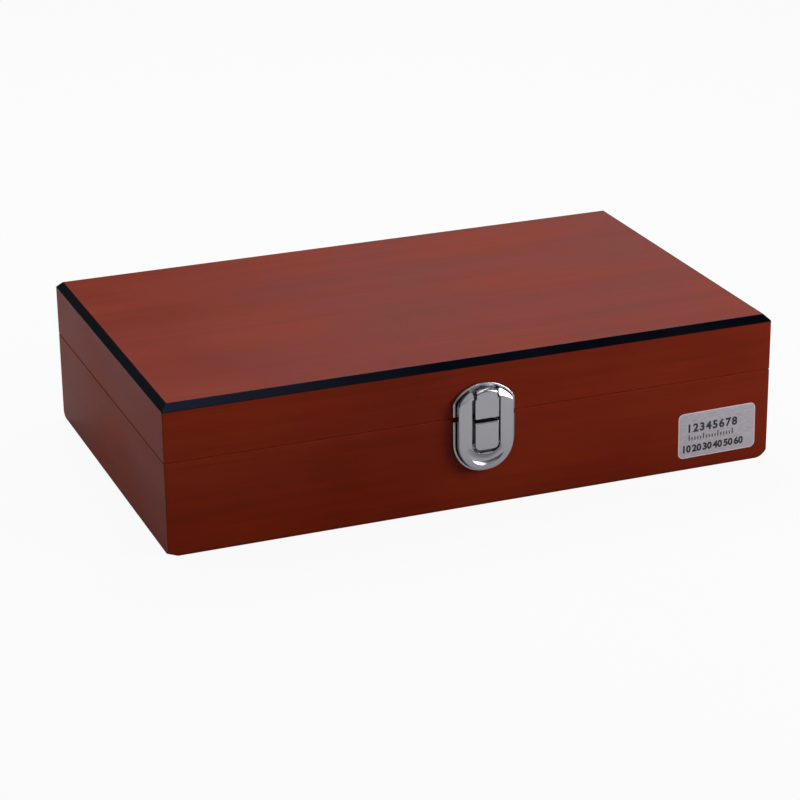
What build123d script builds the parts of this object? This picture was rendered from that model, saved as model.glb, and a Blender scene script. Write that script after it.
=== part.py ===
"""Lacquered wooden gauge box: a hinged case that holds one hundred steel pin gauges upright.

Millimetres, +Z up. The origin is the middle of the underside, the latch faces -Y and the
hinges are at the back. Each function builds one group of pieces and returns them by name.
"""
from build123d import *
import math
import os

# Case
CASE_W = 275.0  # left to right
CASE_D = 167.0  # front to back
BASE_H = 42.0  # underside to seam
LID_H = 25.0  # seam to top
WALL_T = 10.0
BOTTOM_T = 3.0
TOP_T = 4.0
CORNER_R = 0.5  # outer upright corners
FOOT_R = 2.2  # lower edges of the base
FOOT_CORNER_R = 6.0  # lower corners of the base, sanded round, seen across the corner
SEAM_EASE = 0.4  # outer edges of both rims
BEAD_BEVEL = 2.7  # black edging: the bevel, measured along each face
BEAD_LAND = 0.3  # black edging: the narrow flat on each side of the bevel

# Fits
FIT = 0.03  # radial play of a pin in its hole
SCREW_FIT = 0.02  # play round a screw
PANEL_PLAY = 0.3  # round the loose pieces inside the case
LEAF_PLAY = 0.05  # round a hinge leaf in its mortise, and under its face

# Rack and gauges
GAUGE_COLUMNS = 20
GAUGE_ROWS = 5
GAUGE_FIRST_DIA = 1.01
GAUGE_STEP = 0.01
GAUGE_LENGTH = 50.0
GAUGE_FLOOR = 3.0  # wood left under each hole
GAUGE_PLAY = 0.1  # radial play of a gauge in the rack
RACK_H = 19.0
RACK_MARGIN_X = 13.2  # first hole to the end of the rack
RACK_MARGIN_Y = 21.0
SCALE_T = 1.0  # printed plate on top of the rack
FOAM_GAP = 0.8  # between the gauges and the foam pad

# Label
LABEL_W = 37.3
LABEL_H = 20.9
LABEL_T = 0.15
LABEL_R = 2.5
LABEL_TILT = 0.75  # degrees, its right end higher
LABEL_FROM_RIGHT = 6.35
LABEL_FROM_BELOW = 6.45

# Hinges
HINGE_FROM_END = 52.5  # middle of each hinge to the end of the case
HINGE_W = 30.0
LEAF_D = 8.0  # mortise, front to back
LEAF_T = 1.2
BARREL_R = 2.0
BARREL_GAP = 0.1  # between the barrel and the back of the case
KNUCKLES = 5
KNUCKLE_GAP = 0.1
HINGE_PIN_R = 1.0
STOP_R = 3.6  # outer radius of the stop lugs
STOP_PLAY = 0.15  # lid lug over the middle knuckle
LID_STOP_FROM = 50.0  # degrees round the barrel, from straight back, upwards
LID_STOP_TO = 80.0
BASE_STOP_FROM = -90.0
BASE_STOP_TO = -50.0
HINGE_SCREW_INSET = 6.5  # from the ends of the leaf
HINGE_SCREW_BACK = 4.6  # from the back of the case

# Screws
SCREW_HEAD_R = 1.8
SCREW_R = 0.9
SCREW_HEAD_H = 0.9
SCREW_LENGTH = 8.0
SCREW_POINT = 1.5
SCREW_TIP_R = 0.27
RECESS_W = 0.5
RECESS_L = 2.2
RECESS_DEPTH = 0.5

# Latch: u is to the right of its middle, w above the seam and t out from the front face
LATCH_X = 1.6  # middle of the latch, right of the middle of the case
PLATE_T = 0.6
PLATE_HALF_W = 13.95
PLATE_ROUND_W = -11.0  # centre of the lower half round
PLATE_CROWN_R = 16.5
PLATE_CROWN_W = 14.8
PLATE_CORNER_R = 2.0
RIM_T = 1.6  # raised rim of the plates, out from the face
RIM_W = 0.95
RIM_SLOPE_W = 0.5  # foot of the rim's sloping inner side
RIM_EDGE_R = 0.35
LID_PLATE_LOW = 1.0
BASE_PLATE_HIGH = -1.0
TONGUE_HALF_W = 5.3
TONGUE_NECK_HALF_W = 4.6
TONGUE_NECK_W = 8.8  # where the tongue narrows
TONGUE_LOW = -0.1
TONGUE_HIGH = 13.0
TONGUE_CROWN_R = 11.5
TONGUE_FRONT = 5.1
TONGUE_NOSE_R = 1.4
TONGUE_EDGE_R = 0.4
FRAME_HALF_W = 12.5
FRAME_ROUND_W = -11.15
FRAME_CROWN_R = 14.5
FRAME_CROWN_W = 13.5
FRAME_CORNER_R = 3.0
FRAME_TIP_R = 0.6
FRAME_BACK = 1.3
FRAME_FRONT = 4.4
FRAME_EDGE_R = 0.5
DOME_ROUND_W = -11.7  # centre of the arc where the arm tips begin to slope back
DOME_R = 21.9
DOME_SLOPE = 30.0
WINDOW_HALF_W = 6.3
WINDOW_LOW = -15.5
WINDOW_R = 3.5
NOSE_PLAY = 0.15  # between the hooked arm tips and the tongue
NOSE_LOW = 8.2
NOSE_W = 8.9  # point of the hook
NOSE_R = 0.6
TIP_HALF_W = 6.5  # inner corner of each arm tip, at the crown
SCOOP_R = 7.8  # finger scoop: a ring cut round the centre of the lower half round
SCOOP_TUBE_R = 3.9
SCOOP_DEPTH = 0.9
SCOOP_TILT = 9.0
LINK_HALF_W = 5.3
LINK_LOW = -14.1
LINK_HIGH = -1.6
LINK_BACK = 1.1
LINK_FRONT = 5.2
LINK_SIDE_T = 0.9
LINK_FRONT_T = 0.6
LINK_TOP_T = 0.5
LINK_CORNER_R = 2.2
LINK_NOSE_R = 0.7
LINK_HEEL_R = 1.5
LINK_EDGE_R = 0.4
PIVOT_T = 2.8  # both latch pins, out from the face
LINK_PIVOT_W = -3.5
FRAME_PIVOT_W = -12.2
LATCH_PIN_R = 0.5
LINK_PIN_END = 0.2  # short of the link's sides
FRAME_PIN_GRIP = 2.05  # into each arm
PIN_END_PLAY = 0.2
EAR_R = 0.9
EAR_T = 1.0
EAR_PLAY = 0.5  # between an ear and the link's side
EAR_FOOT_HIGH = 0.6  # foot on the plate, below the pin
EAR_FOOT_LOW = 3.0
EAR_LEAN = 53.0  # degrees below straight out, where the ear's slope meets its round head
LID_SCREW_U = 9.6
LID_SCREW_W = 5.0
BASE_SCREW_U = 9.8
BASE_SCREW_W = -6.5
BASE_LOW_SCREW_W = -20.0

# Worked out from the sizes above
SEAM_Z = BASE_H
CASE_H = BASE_H + LID_H
HALF_W = CASE_W / 2
HALF_D = CASE_D / 2
LID_CEILING = CASE_H - TOP_T
INNER_W = CASE_W - 2 * WALL_T
INNER_D = CASE_D - 2 * WALL_T
RACK_W = INNER_W - 2 * PANEL_PLAY
RACK_D = INNER_D - 2 * PANEL_PLAY
RACK_TOP = BOTTOM_T + RACK_H
PITCH_X = (RACK_W - 2 * RACK_MARGIN_X) / (GAUGE_COLUMNS - 1)
PITCH_Y = (RACK_D - 2 * RACK_MARGIN_Y) / (GAUGE_ROWS - 1)
GAUGE_LOW = BOTTOM_T + GAUGE_FLOOR
HINGE_Y = HALF_D + BARREL_R + BARREL_GAP
HINGE_X = CASE_W / 2 - HINGE_FROM_END
KNUCKLE_W = (HINGE_W - (KNUCKLES - 1) * KNUCKLE_GAP) / KNUCKLES
PAST = 5.0  # how far a cutter reaches past what it cuts
NEAR = 0.01  # two heights or depths this close are the same one
SIDES = {"front": (0, -1), "back": (0, 1), "left": (-1, 0), "right": (1, 0)}


def block(x0, x1, y0, y1, z0, z1):
    """Return a box between two corners."""
    return Pos((x0 + x1) / 2, (y0 + y1) / 2, (z0 + z1) / 2) * Box(x1 - x0, y1 - y0, z1 - z0)


def rod(radius, x0, x1, y, z):
    """Return a round bar that lies along X."""
    return Pos((x0 + x1) / 2, y, z) * Rot(0, 90, 0) * Cylinder(radius, x1 - x0)


def outline_prism(z0, z1):
    """Return the case's plan with its rounded upright corners, between two heights."""
    return extrude(Plane.XY.offset(z0) * RectangleRounded(CASE_W, CASE_D, CORNER_R), z1 - z0)


def ring(z0, z1):
    """Return the four walls as one ring, between two heights."""
    hollow = block(-INNER_W / 2, INNER_W / 2, -INNER_D / 2, INNER_D / 2, z0 - PAST, z1 + PAST)
    return outline_prism(z0, z1) - hollow


def side_wedge(side):
    """Return the quarter of space that a mitred piece of one side lies in."""
    nx, ny = SIDES[side]
    near = WALL_T + PAST
    corners = []
    for reach, sense in ((-PAST, -1), (-PAST, 1), (near, 1), (near, -1)):
        x = nx * (HALF_W - reach) + sense * abs(ny) * (HALF_W - reach)
        y = ny * (HALF_D - reach) + sense * abs(nx) * (HALF_D - reach)
        corners.append((x, y))
    plan = make_face(Polyline(*corners, close=True))
    return extrude(Plane.XY.offset(-PAST) * plan, CASE_H + 2 * PAST)


def mitred(whole, prefix, suffix):
    """Cut a ring into its four mitred pieces, named by side."""
    return {f"{prefix}_{side}{suffix}": whole & side_wedge(side) for side in SIDES}


def eased(solid, z):
    """Bevel the outer edge of a rim at height z."""
    rim = solid.faces().filter_by(Plane.XY).filter_by_position(Axis.Z, z - NEAR, z + NEAR)[0]
    return chamfer(rim.outer_wire().edges(), SEAM_EASE)


def bevelled_top(low):
    """Return the space from height low to the top, under the bevel round all four sides."""
    runs = []
    for plane, half, reach in ((Plane.XZ, HALF_W, HALF_D), (Plane.YZ, HALF_D, HALF_W)):
        slab = Pos(0, (low + CASE_H) / 2) * Rectangle(2 * half, CASE_H - low)
        section = chamfer(slab.vertices().group_by(Axis.Y)[-1], BEAD_BEVEL)
        runs.append(extrude(plane * section, reach + PAST, both=True))
    return runs[0] & runs[1]


def foot_slab(facing, half, radius):
    """Return the space between two upright faces whose lower edges are round.

    facing is the way that the faces look, in degrees from +X, and half is their distance from
    the middle.
    """
    across = (math.cos(math.radians(facing)), math.sin(math.radians(facing)), 0)
    along = (across[1], -across[0], 0)
    slab = Pos(0, CASE_H / 2) * Rectangle(2 * half, CASE_H)
    section = fillet(slab.vertices().group_by(Axis.Y)[0], radius)
    return extrude(Plane((0, 0, 0), x_dir=across, z_dir=along) * section, HALF_W + HALF_D, both=True)


def rounded_foot():
    """Return the space inside the base's round lower edges and its sanded lower corners."""
    corner_half = (HALF_W + HALF_D) * math.cos(math.radians(45))
    space = foot_slab(0, HALF_W, FOOT_R) & foot_slab(90, HALF_D, FOOT_R)
    for facing in (45, -45):
        space &= foot_slab(facing, corner_half, FOOT_CORNER_R)
    return space


def screw(play=0.0):
    """Return a countersunk screw that points down, its head's face at z = 0.

    With play it is the cutter for the screw's own hole.
    """
    head = Pos(0, 0, -SCREW_HEAD_H / 2) * Cone(SCREW_R + play, SCREW_HEAD_R + play, SCREW_HEAD_H)
    shank_h = SCREW_LENGTH - SCREW_HEAD_H - SCREW_POINT
    shank = Pos(0, 0, -SCREW_HEAD_H - shank_h / 2) * Cylinder(SCREW_R + play, shank_h)
    point_z = -SCREW_LENGTH + SCREW_POINT / 2
    point = Pos(0, 0, point_z - play) * Cone(SCREW_TIP_R, SCREW_R + play, SCREW_POINT)
    body = head + shank + point
    if play:
        throat = Pos(0, 0, -play / 2 - SCREW_LENGTH + SCREW_POINT)
        return body + throat * Cylinder(SCREW_R + play, play)
    for turn in (0, 90):
        body -= Rot(0, 0, turn) * Box(RECESS_L, RECESS_W, 2 * RECESS_DEPTH)
    return body


def group(solids):
    """Return several separate solids as one named piece."""
    return Compound(children=[s.solid() if hasattr(s, "solid") else s for s in solids])


def hinge_screw_places(up):
    """Return where the screws of both hinges' leaves go, in the lid or in the base."""
    face_z = SEAM_Z + LEAF_PLAY if up else SEAM_Z - LEAF_PLAY
    turn = Rot(180, 0, 0) if up else Rot(0, 0, 0)
    places = []
    for middle in (-HINGE_X, HINGE_X):
        for end in (-1, 1):
            x = middle + end * (HINGE_W / 2 - HINGE_SCREW_INSET)
            places.append(Pos(x, HALF_D - HINGE_SCREW_BACK, face_z) * turn)
    return places


def latch_screw_places(points):
    """Return where the screws at points (u, w) of the latch plates go."""
    front_y = -HALF_D - PLATE_T
    return [Pos(LATCH_X + u, front_y, SEAM_Z + w) * Rot(90, 0, 0) for u, w in points]


LID_PLATE_SCREWS = [(-LID_SCREW_U, LID_SCREW_W), (LID_SCREW_U, LID_SCREW_W)]
BASE_PLATE_SCREWS = [(-BASE_SCREW_U, BASE_SCREW_W), (BASE_SCREW_U, BASE_SCREW_W), (0, BASE_LOW_SCREW_W)]


def leaf_plate(middle, up, play=0.0):
    """Return a hinge leaf's flat plate, or with play the mortise for it."""
    x0 = middle - HINGE_W / 2 - play
    x1 = middle + HINGE_W / 2 + play
    y0 = HALF_D - LEAF_D - play
    y1 = HALF_D + (PAST if play else 0)
    near = 0.0 if play else LEAF_PLAY
    far = LEAF_PLAY + LEAF_T
    if up:
        return block(x0, x1, y0, y1, SEAM_Z + near, SEAM_Z + far)
    return block(x0, x1, y0, y1, SEAM_Z - far, SEAM_Z - near)


def fitted_for_hinges(wall, up):
    """Cut the mortises and screw holes of both hinges in a back wall."""
    for middle in (-HINGE_X, HINGE_X):
        wall -= leaf_plate(middle, up, LEAF_PLAY)
    for place in hinge_screw_places(up):
        wall -= place * screw(SCREW_FIT)
    return wall


def fitted_for_latch(wall, points):
    """Cut the screw holes of a latch plate in a front wall."""
    for place in latch_screw_places(points):
        wall -= place * screw(SCREW_FIT)
    return wall


def base_pieces():
    """Return the base's four walls and its bottom panel."""
    foot = rounded_foot()
    pieces = mitred(eased(ring(BOTTOM_T, SEAM_Z), SEAM_Z) & foot, "base", "_wall")
    pieces["base_back_wall"] = fitted_for_hinges(pieces["base_back_wall"], False)
    pieces["base_front_wall"] = fitted_for_latch(pieces["base_front_wall"], BASE_PLATE_SCREWS)
    pieces["base_bottom_panel"] = outline_prism(0, BOTTOM_T) & foot
    return pieces


def lid_pieces():
    """Return the lid's four walls, its top panel and the black edging round it."""
    pieces = mitred(eased(ring(SEAM_Z, LID_CEILING), SEAM_Z), "lid", "_wall")
    pieces["lid_back_wall"] = fitted_for_hinges(pieces["lid_back_wall"], True)
    pieces["lid_front_wall"] = fitted_for_latch(pieces["lid_front_wall"], LID_PLATE_SCREWS)
    rebate = BEAD_BEVEL + BEAD_LAND
    rebate_low = CASE_H - rebate
    field = block(-HALF_W + rebate, HALF_W - rebate, -HALF_D + rebate, HALF_D - rebate, rebate_low, CASE_H)
    pieces["lid_top_panel"] = outline_prism(LID_CEILING, rebate_low) + field
    bevelled = outline_prism(rebate_low, CASE_H) & bevelled_top(rebate_low)
    pieces.update(mitred(bevelled - field, "lid", "_edging"))
    return pieces


def hinge_angle_bar(r0, r1, a0, a1, x0, x1):
    """Return a bar of ring section round the hinge axis, between two angles and two ends."""
    reach = 2 * r1
    tips = [(reach * math.cos(math.radians(a)), reach * math.sin(math.radians(a))) for a in (a0, a1)]
    wedge = make_face(Polyline((0, 0), *tips, close=True))
    section = (Circle(r1) - Circle(r0)) & wedge
    return extrude(Plane((x0, HINGE_Y, SEAM_Z), x_dir=(0, 1, 0), z_dir=(1, 0, 0)) * section, x1 - x0)


def hinge_pieces(name, middle):
    """Return one hinge's two leaves and its pin."""
    spans = []
    for i in range(KNUCKLES):
        x0 = middle - HINGE_W / 2 + i * (KNUCKLE_W + KNUCKLE_GAP)
        spans.append((x0, x0 + KNUCKLE_W))
    bore = rod(HINGE_PIN_R + FIT, middle - HINGE_W, middle + HINGE_W, HINGE_Y, SEAM_Z)
    leaves = {}
    for up in (False, True):
        leaf = leaf_plate(middle, up)
        inner, outer = SEAM_Z + LEAF_PLAY, SEAM_Z + LEAF_PLAY + LEAF_T
        if not up:
            inner, outer = 2 * SEAM_Z - outer, 2 * SEAM_Z - inner
        for x0, x1 in spans[1::2] if up else spans[0::2]:
            leaf += rod(BARREL_R, x0, x1, HINGE_Y, SEAM_Z)
            leaf += block(x0, x1, HALF_D - LEAF_T, HINGE_Y, inner, outer)
        leaves[up] = leaf
    lug_in = (HINGE_PIN_R + BARREL_R) / 2
    middle_knuckle = spans[KNUCKLES // 2]
    beside = (spans[KNUCKLES // 2 - 1], spans[KNUCKLES // 2 + 1])
    leaves[False] += hinge_angle_bar(lug_in, STOP_R, BASE_STOP_FROM, BASE_STOP_TO, *middle_knuckle)
    over = (beside[0][0], beside[1][1])
    leaves[True] += hinge_angle_bar(BARREL_R + STOP_PLAY, STOP_R, LID_STOP_FROM, LID_STOP_TO, *over)
    for x0, x1 in beside:
        leaves[True] += hinge_angle_bar(lug_in, STOP_R, LID_STOP_FROM, LID_STOP_TO, x0, x1)
    for up in (False, True):
        leaves[up] -= bore
        for place in hinge_screw_places(up):
            leaves[up] -= place * screw(SCREW_FIT)
    pin = rod(HINGE_PIN_R, middle - HINGE_W / 2, middle + HINGE_W / 2, HINGE_Y, SEAM_Z)
    return {f"{name}_base_leaf": leaves[False], f"{name}_lid_leaf": leaves[True], f"{name}_pin": pin}


LATCH_FACE = Plane((LATCH_X, -HALF_D, SEAM_Z), x_dir=(1, 0, 0), z_dir=(0, -1, 0))
LATCH_SIDE = Plane((LATCH_X, -HALF_D, SEAM_Z), x_dir=(0, -1, 0), z_dir=(-1, 0, 0))


def latch_block(u0, u1, w0, w1, t0, t1):
    """Return a box in the latch's own directions."""
    return block(LATCH_X + u0, LATCH_X + u1, -HALF_D - t1, -HALF_D - t0, SEAM_Z + w0, SEAM_Z + w1)


def latch_rod(radius, half_length, w):
    """Return a bar across the latch at height w, on the line of its pins."""
    return rod(radius, LATCH_X - half_length, LATCH_X + half_length, -HALF_D - PIVOT_T, SEAM_Z + w)


def latch_extrude(sketch, t0, t1):
    """Return a latch outline in (u, w) given its thickness from t0 to t1."""
    return extrude(LATCH_FACE.offset(t0) * sketch, t1 - t0)


def flat(u0, u1, w0, w1):
    """Return a rectangle in (u, w)."""
    return Pos((u0 + u1) / 2, (w0 + w1) / 2) * Rectangle(u1 - u0, w1 - w0)


def latch_oval(half_w, round_w, crown_r, crown_w, corner_r):
    """Return straight sides with a half round below and a flatter crown above."""
    centre_w = crown_w - crown_r
    lower = flat(-half_w, half_w, round_w, centre_w) + Pos(0, round_w) * Circle(half_w)
    upper = flat(-half_w, half_w, centre_w, crown_w) & (Pos(0, centre_w) * Circle(crown_r))
    whole = lower + upper
    shoulders = [v for v in whole.vertices() if v.Y > centre_w + corner_r]
    return fillet(shoulders, corner_r)


def along_u(solid, w, t):
    """Return the straight edges of a latch piece that run across it at height w and depth t."""
    height = SEAM_Z + w
    level = solid.edges().filter_by(Axis.X).filter_by_position(Axis.Z, height - NEAR, height + NEAR)
    return level.filter_by_position(Axis.Y, -HALF_D - t - NEAR, -HALF_D - t + NEAR)


def edge_rounded(solid, radius):
    """Round every edge of the front face of a latch piece."""
    return fillet(solid.faces().sort_by(Axis.Y)[0].edges(), radius)


def dome_cutter():
    """Return what lies outside the shallow cone that the frame's arm tips slope back on."""
    run = FRAME_CROWN_R
    depth = run * math.tan(math.radians(DOME_SLOPE))
    cone = Cone(DOME_R + run, DOME_R, depth)
    hub = LATCH_FACE.offset(FRAME_FRONT) * Pos(0, DOME_ROUND_W)
    around = latch_block(-FRAME_HALF_W - PAST, FRAME_HALF_W + PAST, 0, FRAME_CROWN_W + PAST, 0, FRAME_FRONT)
    return around - hub * Pos(0, 0, -depth / 2) * cone


def plate_oval(inset):
    """Return the outline of the plates, drawn in by a distance."""
    corner_r = max(PLATE_CORNER_R - inset, RIM_EDGE_R)
    crown_r = PLATE_CROWN_R - inset
    return latch_oval(PLATE_HALF_W - inset, PLATE_ROUND_W, crown_r, PLATE_CROWN_W - inset, corner_r)


def dished_plate(low, high):
    """Return a plate between two heights w: a thin floor inside a raised rim that slopes inwards."""
    reach = PLATE_HALF_W + PAST
    blank = latch_extrude(plate_oval(0) & flat(-reach, reach, low, high), 0, RIM_T)
    rise = RIM_T - PLATE_T
    floor = LATCH_FACE.offset(PLATE_T) * plate_oval(RIM_W + RIM_SLOPE_W)
    mouth = LATCH_FACE.offset(RIM_T + rise) * plate_oval(RIM_W - RIM_SLOPE_W)
    return edge_rounded(blank - loft([floor.face(), mouth.face()], ruled=True), RIM_EDGE_R)


def latch_plates():
    """Return the two screwed plates: the lid's with its tongue, the base's with its ears."""
    neck = flat(-TONGUE_NECK_HALF_W, TONGUE_NECK_HALF_W, TONGUE_LOW, TONGUE_HIGH)
    neck &= Pos(0, TONGUE_HIGH - TONGUE_CROWN_R) * Circle(TONGUE_CROWN_R)
    shape = neck + flat(-TONGUE_HALF_W, TONGUE_HALF_W, TONGUE_LOW, TONGUE_NECK_W)
    tongue = latch_extrude(shape, PLATE_T, TONGUE_FRONT)
    arch = tongue.faces().sort_by(Axis.Y)[0].edges().sort_by(Axis.Z)[-1]
    tongue = fillet(arch, TONGUE_NOSE_R)
    tongue = fillet(along_u(tongue, TONGUE_LOW, TONGUE_FRONT), TONGUE_EDGE_R)
    lid_plate = dished_plate(LID_PLATE_LOW, PLATE_CROWN_W + PAST) + tongue

    base_plate = dished_plate(PLATE_ROUND_W - PLATE_HALF_W - PAST, BASE_PLATE_HIGH)
    ear_out = LINK_HALF_W - LINK_SIDE_T - EAR_PLAY
    lean = math.radians(EAR_LEAN)
    foot = Polyline(
        (PLATE_T / 2, LINK_PIVOT_W - EAR_FOOT_LOW),
        (PLATE_T, LINK_PIVOT_W - EAR_FOOT_LOW),
        (PIVOT_T + EAR_R * math.cos(lean), LINK_PIVOT_W - EAR_R * math.sin(lean)),
        (PIVOT_T - EAR_R, LINK_PIVOT_W),
        (PLATE_T, LINK_PIVOT_W - EAR_FOOT_HIGH),
        (PLATE_T / 2, LINK_PIVOT_W - EAR_FOOT_HIGH),
        close=True,
    )
    ear = make_face(foot) + Pos(PIVOT_T, LINK_PIVOT_W) * Circle(EAR_R)
    for u in (-ear_out, ear_out - EAR_T):
        base_plate += extrude(LATCH_SIDE.offset(-u) * ear, -EAR_T)
    base_plate -= latch_rod(LATCH_PIN_R + SCREW_FIT, PLATE_HALF_W, LINK_PIVOT_W)

    for place in latch_screw_places(LID_PLATE_SCREWS):
        lid_plate -= place * screw(SCREW_FIT)
    for place in latch_screw_places(BASE_PLATE_SCREWS):
        base_plate -= place * screw(SCREW_FIT)
    return {"latch_lid_plate": lid_plate, "latch_base_plate": base_plate}


def latch_link():
    """Return the middle block, a hollow cap that turns on the ears and carries the frame."""
    face = flat(-LINK_HALF_W, LINK_HALF_W, LINK_LOW, LINK_HIGH)
    face = fillet(face.vertices().group_by(Axis.Y)[0], LINK_CORNER_R)
    shell = latch_extrude(face, LINK_BACK, LINK_FRONT)
    shell = fillet(along_u(shell, LINK_HIGH, LINK_FRONT), LINK_NOSE_R)
    shell = fillet(along_u(shell, LINK_HIGH, LINK_BACK), LINK_HEEL_R)
    shell = edge_rounded(shell, LINK_EDGE_R)

    inner_u = LINK_HALF_W - LINK_SIDE_T
    roof = LINK_HIGH - LINK_TOP_T
    floor = LINK_LOW + LINK_SIDE_T
    plan = flat(-inner_u, inner_u, floor, roof)
    plan = fillet(plan.vertices().group_by(Axis.Y)[0], LINK_CORNER_R - LINK_SIDE_T)
    depth = LINK_FRONT - LINK_FRONT_T
    hollow = latch_extrude(plan, -PAST, depth)
    hollow = fillet(along_u(hollow, roof, depth), roof - LINK_PIVOT_W)
    shell -= hollow
    shell -= latch_block(-inner_u, inner_u, LINK_PIVOT_W, LINK_HIGH + PAST, -PAST, PIVOT_T)
    shell -= latch_rod(LATCH_PIN_R + FIT, LINK_HALF_W - LINK_PIN_END / 2, LINK_PIVOT_W)
    shell -= latch_rod(LATCH_PIN_R + SCREW_FIT, LINK_HALF_W + PAST, FRAME_PIVOT_W)
    return shell


def frame_window():
    """Return the frame's opening: a round-cornered pocket below, between hooked arm tips above."""
    nose_u = TONGUE_HALF_W + NOSE_PLAY
    lean = (TIP_HALF_W - nose_u) / (FRAME_CROWN_W - NOSE_W)
    top_w = FRAME_CROWN_W + PAST
    right = [
        (WINDOW_HALF_W, WINDOW_LOW),
        (WINDOW_HALF_W, NOSE_LOW),
        (nose_u, NOSE_W),
        (nose_u + lean * (top_w - NOSE_W), top_w),
    ]
    left = [(-u, w) for u, w in reversed(right)]
    window = make_face(Polyline(*right, *left, close=True))
    window = fillet(window.vertices().group_by(Axis.Y)[0], WINDOW_R)
    return fillet(window.vertices().filter_by_position(Axis.Y, NOSE_W - NEAR, NOSE_W + NEAR), NOSE_R)


def latch_frame():
    """Return the U-shaped frame with its finger scoop, hooked over the tongue."""
    outline = latch_oval(FRAME_HALF_W, FRAME_ROUND_W, FRAME_CROWN_R, FRAME_CROWN_W, FRAME_CORNER_R)
    outline -= frame_window()
    outline = fillet(outline.vertices().group_by(Axis.Y)[-1], FRAME_TIP_R)
    body = edge_rounded(latch_extrude(outline, FRAME_BACK, FRAME_FRONT), FRAME_EDGE_R) - dome_cutter()

    hub = LATCH_FACE.offset(FRAME_FRONT - SCOOP_DEPTH + SCOOP_TUBE_R) * Pos(0, FRAME_ROUND_W)
    sink = Pos(0, 0, SCOOP_R * math.sin(math.radians(SCOOP_TILT)))
    body -= hub * sink * Rot(SCOOP_TILT, 0, 0) * Torus(SCOOP_R, SCOOP_TUBE_R)

    blind = WINDOW_HALF_W + FRAME_PIN_GRIP + PIN_END_PLAY
    body -= latch_rod(LATCH_PIN_R + FIT, blind, FRAME_PIVOT_W)
    return body


def latch_pieces():
    """Return every piece of the draw latch."""
    pieces = latch_plates()
    pieces["latch_link"] = latch_link()
    pieces["latch_frame"] = latch_frame()
    pieces["latch_link_pin"] = latch_rod(LATCH_PIN_R, LINK_HALF_W - LINK_PIN_END, LINK_PIVOT_W)
    pieces["latch_frame_pin"] = latch_rod(LATCH_PIN_R, WINDOW_HALF_W + FRAME_PIN_GRIP, FRAME_PIVOT_W)
    pieces["latch_lid_screws"] = group([p * screw() for p in latch_screw_places(LID_PLATE_SCREWS)])
    pieces["latch_base_screws"] = group([p * screw() for p in latch_screw_places(BASE_PLATE_SCREWS)])
    return pieces


def gauge_places():
    """Return each gauge's row, column, place and diameter, from the back left corner on."""
    places = []
    for row in range(GAUGE_ROWS):
        for column in range(GAUGE_COLUMNS):
            x = (column - (GAUGE_COLUMNS - 1) / 2) * PITCH_X
            y = ((GAUGE_ROWS - 1) / 2 - row) * PITCH_Y
            dia = GAUGE_FIRST_DIA + GAUGE_STEP * (row * GAUGE_COLUMNS + column)
            places.append((row, column, x, y, dia))
    return places


def rack_pieces():
    """Return the drilled rack, its printed plate, the gauges by row and the lid's foam pad."""
    rack = block(-RACK_W / 2, RACK_W / 2, -RACK_D / 2, RACK_D / 2, BOTTOM_T, RACK_TOP)
    plate = block(-RACK_W / 2, RACK_W / 2, -RACK_D / 2, RACK_D / 2, RACK_TOP, RACK_TOP + SCALE_T)
    holes = []
    rows = {}
    for row, _, x, y, dia in gauge_places():
        high = RACK_TOP + SCALE_T + PAST
        bore = Cylinder(dia / 2 + GAUGE_PLAY, high - GAUGE_LOW)
        holes.append(Pos(x, y, (GAUGE_LOW + high) / 2) * bore)
        gauge = Pos(x, y, GAUGE_LOW + GAUGE_LENGTH / 2) * Cylinder(dia / 2, GAUGE_LENGTH)
        rows.setdefault(row, []).append(gauge)
    pieces = {"rack_block": rack - holes, "rack_scale_plate": plate - holes}
    for row, gauges in rows.items():
        pieces[f"gauge_pins_row_{row + 1}"] = group(gauges)
    foam_low = GAUGE_LOW + GAUGE_LENGTH + FOAM_GAP
    pieces["lid_foam_pad"] = block(-RACK_W / 2, RACK_W / 2, -RACK_D / 2, RACK_D / 2, foam_low, LID_CEILING)
    return pieces


def label_piece():
    """Return the size label stuck low on the front wall."""
    x = HALF_W - LABEL_FROM_RIGHT - LABEL_W / 2
    z = LABEL_FROM_BELOW + LABEL_H / 2
    face = Plane((x, -HALF_D, z), x_dir=(1, 0, 0), z_dir=(0, -1, 0))
    paper = Rot(0, 0, LABEL_TILT) * RectangleRounded(LABEL_W, LABEL_H, LABEL_R)
    return {"size_label": extrude(face * paper, LABEL_T)}


def all_pieces():
    """Return every piece of the box by name."""
    pieces = {**base_pieces(), **lid_pieces(), **latch_pieces(), **rack_pieces(), **label_piece()}
    pieces.update(hinge_pieces("hinge_left", -HINGE_X))
    pieces.update(hinge_pieces("hinge_right", HINGE_X))
    pieces["hinge_base_screws"] = group([p * screw() for p in hinge_screw_places(False)])
    pieces["hinge_lid_screws"] = group([p * screw() for p in hinge_screw_places(True)])
    return pieces


os.makedirs("parts", exist_ok=True)
for name, piece in all_pieces().items():
    export_step(piece, f"parts/{name}.step")
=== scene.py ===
"""Dresses the gauge box: a cherry-stained case with a draw latch and a rack of pin gauges.

Everything is in metres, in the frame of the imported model. The origin is the middle of the
underside, +Z is up, the latch faces -Y and the hinges are at the back. Sizes that a maker
would read off the box are written in millimetres and multiplied by MM.
"""
import logging
import math
from abc import ABC, abstractmethod
from dataclasses import dataclass
from enum import Enum
from typing import Any, Mapping, Sequence

import bmesh
import bpy
from mathutils import Matrix, Vector, noise


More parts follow.
